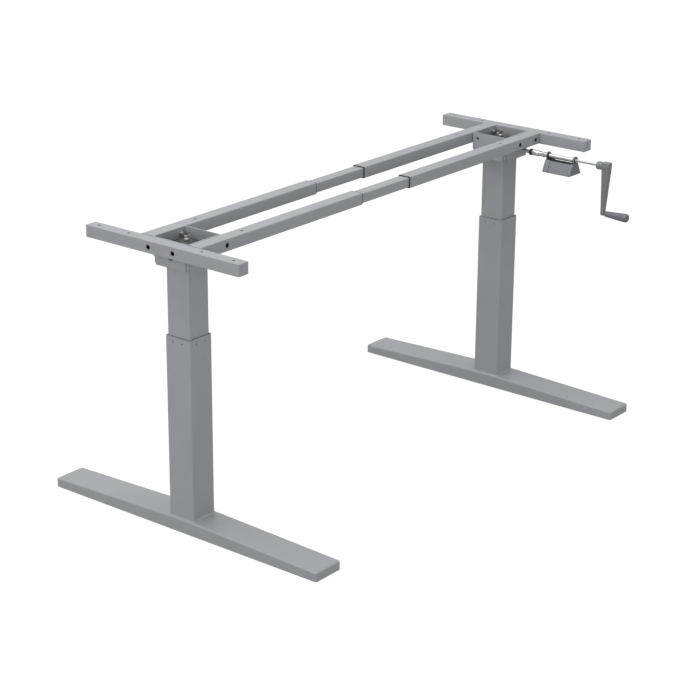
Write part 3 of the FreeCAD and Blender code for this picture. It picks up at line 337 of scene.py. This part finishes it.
def turned(name, colour, rough, line_axis=(1.0, 1.0, 1.0)):
    """Turned or drawn steel: metal with fine machining lines and slightly uneven gloss."""
    made = bpy.data.materials.new(name)
    made.use_nodes = True
    nodes_of = made.node_tree.nodes
    link = made.node_tree.links.new
    skin = nodes_of["Principled BSDF"]
    skin.inputs["Metallic"].default_value = 1.0
    place = nodes_of.new("ShaderNodeTexCoord")
    stretch = nodes_of.new("ShaderNodeMapping")
    stretch.inputs["Scale"].default_value = line_axis
    link(place.outputs["Object"], stretch.inputs["Vector"])
    lines = nodes_of.new("ShaderNodeTexNoise")
    lines.inputs["Scale"].default_value = 350.0
    lines.inputs["Detail"].default_value = 3.0
    link(stretch.outputs["Vector"], lines.inputs["Vector"])
    shade = nodes_of.new("ShaderNodeValToRGB")
    shade.color_ramp.elements[0].color = [c * 0.93 for c in colour] + [1]
    shade.color_ramp.elements[1].color = [min(c * 1.04, 1.0) for c in colour] + [1]
    link(lines.outputs["Fac"], shade.inputs["Fac"])
    link(shade.outputs["Color"], skin.inputs["Base Color"])
    gloss = nodes_of.new("ShaderNodeMapRange")
    gloss.inputs["To Min"].default_value = rough - 0.04
    gloss.inputs["To Max"].default_value = rough + 0.05
    link(lines.outputs["Fac"], gloss.inputs["Value"])
    link(gloss.outputs["Result"], skin.inputs["Roughness"])
    bump = nodes_of.new("ShaderNodeBump")
    bump.inputs["Strength"].default_value = 0.03
    bump.inputs["Distance"].default_value = 0.0001
    link(lines.outputs["Fac"], bump.inputs["Height"])
    link(bump.outputs["Normal"], skin.inputs["Normal"])
    return made


oiled_steel = turned("oiled_steel", (0.38, 0.37, 0.36), 0.33, (1, 1, 6))
zinc_plate = turned("zinc_plate", (0.45, 0.45, 0.44), 0.38)
acetal = moulded("acetal", (0.75, 0.74, 0.7), 0.4, 0.03)
for leg in ("left", "right"):
    for part in ("nut_tube", "spindle", "spindle_gear", "spindle_bearing"):
        finish_node(f"{leg}_{part}", oiled_steel, 30)
    finish_node(f"{leg}_column_base", silver_coat, 30)
    finish_node(f"{leg}_foot_screws", zinc_plate, 30)
    finish_node(f"{leg}_lift_nut", acetal, 30)

# ---- heads ----
# Welded steel boxes on the inner columns, open at the top, in the same powder coat.
# A square post stands in each corner, behind the bite in the box's lower edge.
POST_OUT = 0.0476
POST_FOOT_Z = 0.6742
for leg, leg_x in LEGS:
    finish_node(f"{leg}_head", silver_coat, 30)
    finish_node(f"{leg}_head_bolts", zinc_plate, 30)
    for out_x in (-POST_OUT, POST_OUT):
        for out_y in (-POST_OUT, POST_OUT):
            square_piece(f"{leg}_head_post_{'w' if out_x < 0 else 'e'}{'s' if out_y < 0 else 'n'}",
                         (leg_x + out_x, out_y, POST_FOOT_Z), (0, 0, 0), [(0, 8.6, 8.6), (31, 8.6, 8.6)],
                         silver_coat, f"{leg}_top", 0.8)

# ---- gearboxes ----
# Black die castings bolted to the heads' floors with long zinc-plated socket screws.
# Each cover carries a stepped boss over the gears, with a filler plug.
black_casting = coat("black_casting", (0.009, 0.009, 0.01), 0.0, 0.5, 0.3, 500.0)
COVER_Z = 0.719
SCREW_OUT = 0.027
for leg, leg_x in LEGS:
    finish_node(f"{leg}_gearbox", black_casting, 30)
    finish_node(f"{leg}_gearbox_cover", black_casting, 30)
    turned_piece(f"{leg}_gearbox_boss", (leg_x, 0, COVER_Z), (0, 0, 0),
                 [(0, 44), (0.8, 44), (1.2, 43), (1.2, 38.5), (3.4, 33.6), (4.2, 31), (5.0, 28), (5.0, 16),
                  (5.6, 15.4), (6.2, 14)], 48, black_casting, f"{leg}_top")
    turned_piece(f"{leg}_filler_plug", (leg_x, 0, COVER_Z + 0.0062), (0, 0, 0.2),
                 [(0, 10), (0.4, 11.5), (3.2, 11.5), (3.9, 10.2)], 6, zinc_plate, f"{leg}_top")
    corners = [(x, y) for x in (-SCREW_OUT, SCREW_OUT) for y in (-SCREW_OUT, SCREW_OUT)]
    for count, (along, across) in enumerate(corners):
        turned_piece(f"{leg}_gearbox_screw_{count}", (leg_x + along, across, COVER_Z - 0.0002), (0, 0, 0),
                     [(0, 9.8), (0.9, 9.8), (1.0, 8.2), (1.2, 8.5), (5.6, 8.5), (6.1, 7.9), (6.2, 7.0),
                      (6.2, 4.6), (3.9, 4.2)], 30, zinc_plate, f"{leg}_top")
    finish_node(f"{leg}_gearbox_screws", zinc_plate, 30)

# ---- side bars and rails ----
# Closed steel tubes: a bar across each head, and two rails that run towards the middle.
# A thinner rail slides in each pair of rails, through a black sleeve at either mouth.
for leg in ("left", "right"):
    for part in ("side_bar", "rail_front", "rail_rear"):
        finish_node(f"{leg}_{part}", silver_coat, 30)
    finish_node(f"{leg}_rail_sleeves", black_plastic, 30)
for end in ("front", "rear"):
    finish_node(f"inner_rail_{end}", silver_coat, 30)

# ---- cross shaft ----
# A hexagonal rod that slides in a tube and turns both gearboxes together.
# A grooved collar closes the tube's mouth.
SHAFT_Z = 0.697
cross_steel = turned("cross_steel", (0.5, 0.5, 0.49), 0.3, (1, 6, 6))
finish_node("left_cross_tube", cross_steel, 30)
finish_node("right_cross_rod", cross_steel, 20)


def bored(piece, place, turn, diameter, length):
    """Cuts a round hole through a piece, given in millimetres."""
    bpy.ops.object.select_all(action="DESELECT")
    bpy.ops.mesh.primitive_cylinder_add(vertices=36, radius=diameter / 2000, depth=length / 1000,
                                        location=place, rotation=turn)
    drill = bpy.context.object
    bpy.ops.object.select_all(action="DESELECT")
    piece.select_set(True)
    bpy.context.view_layer.objects.active = piece
    hole = piece.modifiers.new("hole", "BOOLEAN")
    hole.operation = "DIFFERENCE"
    hole.solver = "EXACT"
    hole.object = drill
    bpy.ops.object.modifier_apply(modifier=hole.name)
    bpy.data.objects.remove(drill)


COLLAR_X = 0.286
ACROSS = (0, math.pi / 2, 0)
collar = turned_piece("cross_tube_collar", (COLLAR_X, 0, SHAFT_Z), ACROSS,
                      [(0, 13), (0.6, 14.4), (4.0, 14.4), (4.2, 13.6), (5.0, 13.6), (5.2, 14.4),
                       (12.8, 14.4), (13.6, 13)], 40, cross_steel, "cross_tube")
bored(collar, (COLLAR_X + 0.007, 0, SHAFT_Z), ACROSS, 9.8, 40)

# ---- crank line ----
# Plated input shaft, black ring, then a stepped coupling with a hexagon nut and two grub screws.
# A bright drive tube follows, and the hexagonal crank rod slides in it.
CRANK_X = LEG_X
CRANK_Z = SHAFT_Z
FORWARD = (math.pi / 2, 0, 0)
bright_steel = turned("bright_steel", (0.56, 0.56, 0.56), 0.34, (6, 1, 6))
for part in ("drive_shaft", "drive_tube", "crank_rod"):
    finish_node(part, bright_steel, 30)
ring = turned_piece("input_ring", (CRANK_X, 0, CRANK_Z), FORWARD,
                    [(99, 15), (99.4, 16.8), (100.3, 17.8), (101.3, 18), (101.6, 17.2), (102.4, 17.2),
                     (102.7, 18), (103.7, 17.8), (104.6, 16.8), (105, 15)],
                    48, black_plastic, "drive")
bored(ring, (CRANK_X, -0.102, CRANK_Z), FORWARD, 10.0, 20)
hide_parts("drive_ring")
sleeve = turned_piece("stepped_coupling", (CRANK_X, 0, CRANK_Z), FORWARD,
                      [(109, 14.6), (109.6, 15.8), (114.8, 15.8), (115, 14.8), (116.2, 14.8), (116.4, 15.8),
                       (127, 15.8), (127.6, 15.2), (128, 13.6), (136, 13.4), (136.4, 12.8), (137.4, 12.8),
                       (137.8, 13.4), (141, 13.4)], 48, bright_steel, "drive")
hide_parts("coupling_sleeve")
turned_piece("coupling_nut", (CRANK_X, 0, CRANK_Z), FORWARD,
             [(140.6, 15.2), (141.2, 16.6), (146.4, 16.6), (147, 15.2)],
             6, bright_steel, "drive")
for at, above in ((0.1215, 0.0066), (0.1325, 0.0055)):
    turned_piece(f"grub_screw_{int(at * 10000)}", (CRANK_X, -at, CRANK_Z + above), (0, 0, 0),
                 [(0, 5.0), (1.35, 5.0), (1.5, 4.4), (1.5, 2.6), (0.5, 2.2)], 24, black_plastic,
                 "drive")

# ---- crank arm ----
# A grey enamelled casting: a chamfered hub, and an arm that tapers to the grip's boss.
# The two run into each other as cast metal does, and the grip's pin is riveted at the back.
GRIP_Z = CRANK_Z - 0.129
crank_coat = coat("crank_enamel", (0.2, 0.203, 0.21), 0.1, 0.42, 0.04, 700.0)
finish_node("grip_pin", zinc_plate, 30)
casting = turned_piece("crank_casting", (CRANK_X, 0, CRANK_Z), FORWARD,
                       [(312, 17.2), (313.8, 21.2), (315, 22), (345, 22)],
                       48, crank_coat, "crank")
bpy.ops.object.select_all(action="DESELECT")
bpy.ops.mesh.primitive_plane_add(size=0.001)
blade = bpy.context.object
bpy.ops.object.mode_set(mode="EDIT")
bpy.ops.mesh.select_all(action="SELECT")
bpy.ops.transform.resize(value=(20, 24, 1))
bpy.ops.transform.translate(value=(CRANK_X, -0.3415, CRANK_Z + 0.0118))
bpy.ops.mesh.extrude_region_move(TRANSFORM_OT_translate={"value": (0, 0.0006, -0.022)})
bpy.ops.transform.resize(value=(0.955, 0.945, 1))
bpy.ops.mesh.extrude_region_move(TRANSFORM_OT_translate={"value": (0, 0.0019, -0.05)})
bpy.ops.transform.resize(value=(0.8, 0.79, 1))
bpy.ops.mesh.extrude_region_move(TRANSFORM_OT_translate={"value": (0, 0.0022, -0.058)})
bpy.ops.transform.resize(value=(0.76, 0.72, 1))
bpy.ops.mesh.extrude_region_move(TRANSFORM_OT_translate={"value": (0, 0.0002, -0.0165)})
bpy.ops.transform.resize(value=(0.93, 0.94, 1))
bpy.ops.mesh.select_all(action="SELECT")
bpy.ops.mesh.normals_make_consistent(inside=False)
bpy.ops.object.mode_set(mode="OBJECT")
rounding = blade.modifiers.new("rounding", "BEVEL")
rounding.width = 0.0036
rounding.segments = 4
rounding.limit_method = "ANGLE"
bpy.ops.object.modifier_apply(modifier=rounding.name)
bpy.ops.object.select_all(action="DESELECT")
casting.select_set(True)
bpy.context.view_layer.objects.active = casting
welded = casting.modifiers.new("welded", "BOOLEAN")
welded.operation = "UNION"
welded.solver = "EXACT"
welded.object = blade
bpy.ops.object.modifier_apply(modifier=welded.name)
bpy.data.objects.remove(blade)
skin = casting.modifiers.new("skin", "REMESH")
skin.mode = "VOXEL"
skin.voxel_size = 0.0008
bpy.ops.object.modifier_apply(modifier=skin.name)
worn = casting.modifiers.new("worn", "SMOOTH")
worn.factor = 0.5
worn.iterations = 6
bpy.ops.object.modifier_apply(modifier=worn.name)
bpy.ops.object.shade_smooth()
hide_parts("crank_arm")
turned_piece("grip_pin_rivet", (CRANK_X, -0.3312, GRIP_Z), (-math.pi / 2, 0, 0),
             [(0, 8.4), (0.6, 8.4), (1.0, 7.6), (1.2, 5.4)], 32, zinc_plate, "crank")
turned_piece("hub_grub_screw", (CRANK_X, -0.319, CRANK_Z + 0.0098), (0, 0, 0),
             [(0, 5.6), (0.9, 5.6), (1.1, 5.0), (1.1, 3.0), (0.2, 2.6)],
             24, zinc_plate, "crank")

# ---- grip ----
# A grey moulded grip that turns on the pin, widening to a rounded end with a pressed-in cap.
grip_plastic = moulded("grip_plastic", (0.15, 0.152, 0.165), 0.5)
handle = turned_piece("moulded_grip", (CRANK_X, 0, GRIP_Z), FORWARD,
                      [(345, 12.6), (345.3, 14.4), (346.4, 15.5), (350, 15.9), (362, 17.4), (378, 19.6),
                       (394, 21.8), (404, 23), (407.5, 23), (409.6, 22.2), (411.4, 20.6), (412.6, 18.2),
                       (413, 16.4), (413, 14.6), (412.5, 14.0), (412.5, 13.4), (412.9, 12.6), (413, 10)],
                      56, grip_plastic, "handle")
bored(handle, (CRANK_X, -0.377, GRIP_Z), FORWARD, 6.1, 64)
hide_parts("grip")

# ---- crank bracket ----
# A folded and welded sheet-steel bracket whose ears hold plastic bushes round the drive tube.
# Folded flanges lie along the slanted edges of its end plates, and a hem runs round each ear.
bracket_coat = coat("bracket_powder_coat", (0.2, 0.204, 0.216), 0.15, 0.52)
finish_node("crank_bracket", bracket_coat, 30)
finish_node("bracket_bushes", black_plastic, 30)
SLANT = math.atan2(15.5, 32.0)
for side in (-1, 1):
    for end, near, wide in (("rear", 157.2, 14.0), ("front", 235.6, 8.2)):
        square_piece(f"bracket_flange_{end}_{'left' if side < 0 else 'right'}",
                     (CRANK_X + side * 0.0268, -(near + wide / 2) / 1000, CRANK_Z - 0.0399),
                     (0, -side * SLANT, 0), [(0, 1.6, wide), (34.2, 1.6, wide)],
                     bracket_coat, "bracket", 0.5)
for end, at in (("rear", 156.2), ("front", 241.6)):
    hem = turned_piece(f"ear_hem_{end}", (CRANK_X, 0, CRANK_Z), FORWARD,
                       [(at, 20.4), (at + 0.4, 21.4), (at + 3.0, 21.4), (at + 3.4, 20.4)], 48,
                       bracket_coat, "bracket")
    bored(hem, (CRANK_X, -(at + 1.7) / 1000, CRANK_Z), FORWARD, 17.6, 20)

# ---- update ----
# The view layer is brought up to date.
bpy.context.view_layer.update()
